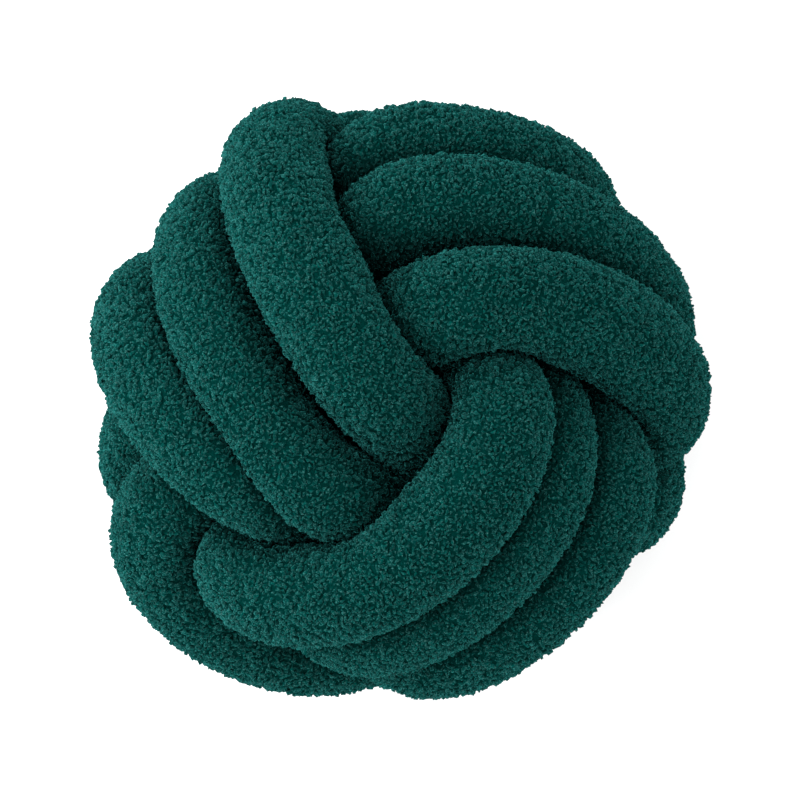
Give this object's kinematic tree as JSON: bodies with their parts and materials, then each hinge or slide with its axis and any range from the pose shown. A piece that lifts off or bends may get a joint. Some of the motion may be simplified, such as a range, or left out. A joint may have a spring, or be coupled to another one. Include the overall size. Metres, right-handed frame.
{
  "type": "knot cushion",
  "caption": "Round ball cushion tied from one long filled bouclé tube, in three crossing bands of turns, with a small flat spot to rest on.",
  "frame": {"origin": "on the surface that the cushion rests on, under the middle of its bounding box", "axes": "+Z up, out of the face where the three bands of turns meet; +X to the right and +Y up for someone who looks down on that face"},
  "size_m": [0.3046, 0.2938, 0.2736],
  "materials": {
    "boucle_cloth": "looped bouclé pile, matt, dark teal"
  },
  "bodies": {
    "root": {"knotted_tube": "boucle_cloth"}
  },
  "joints": []
}
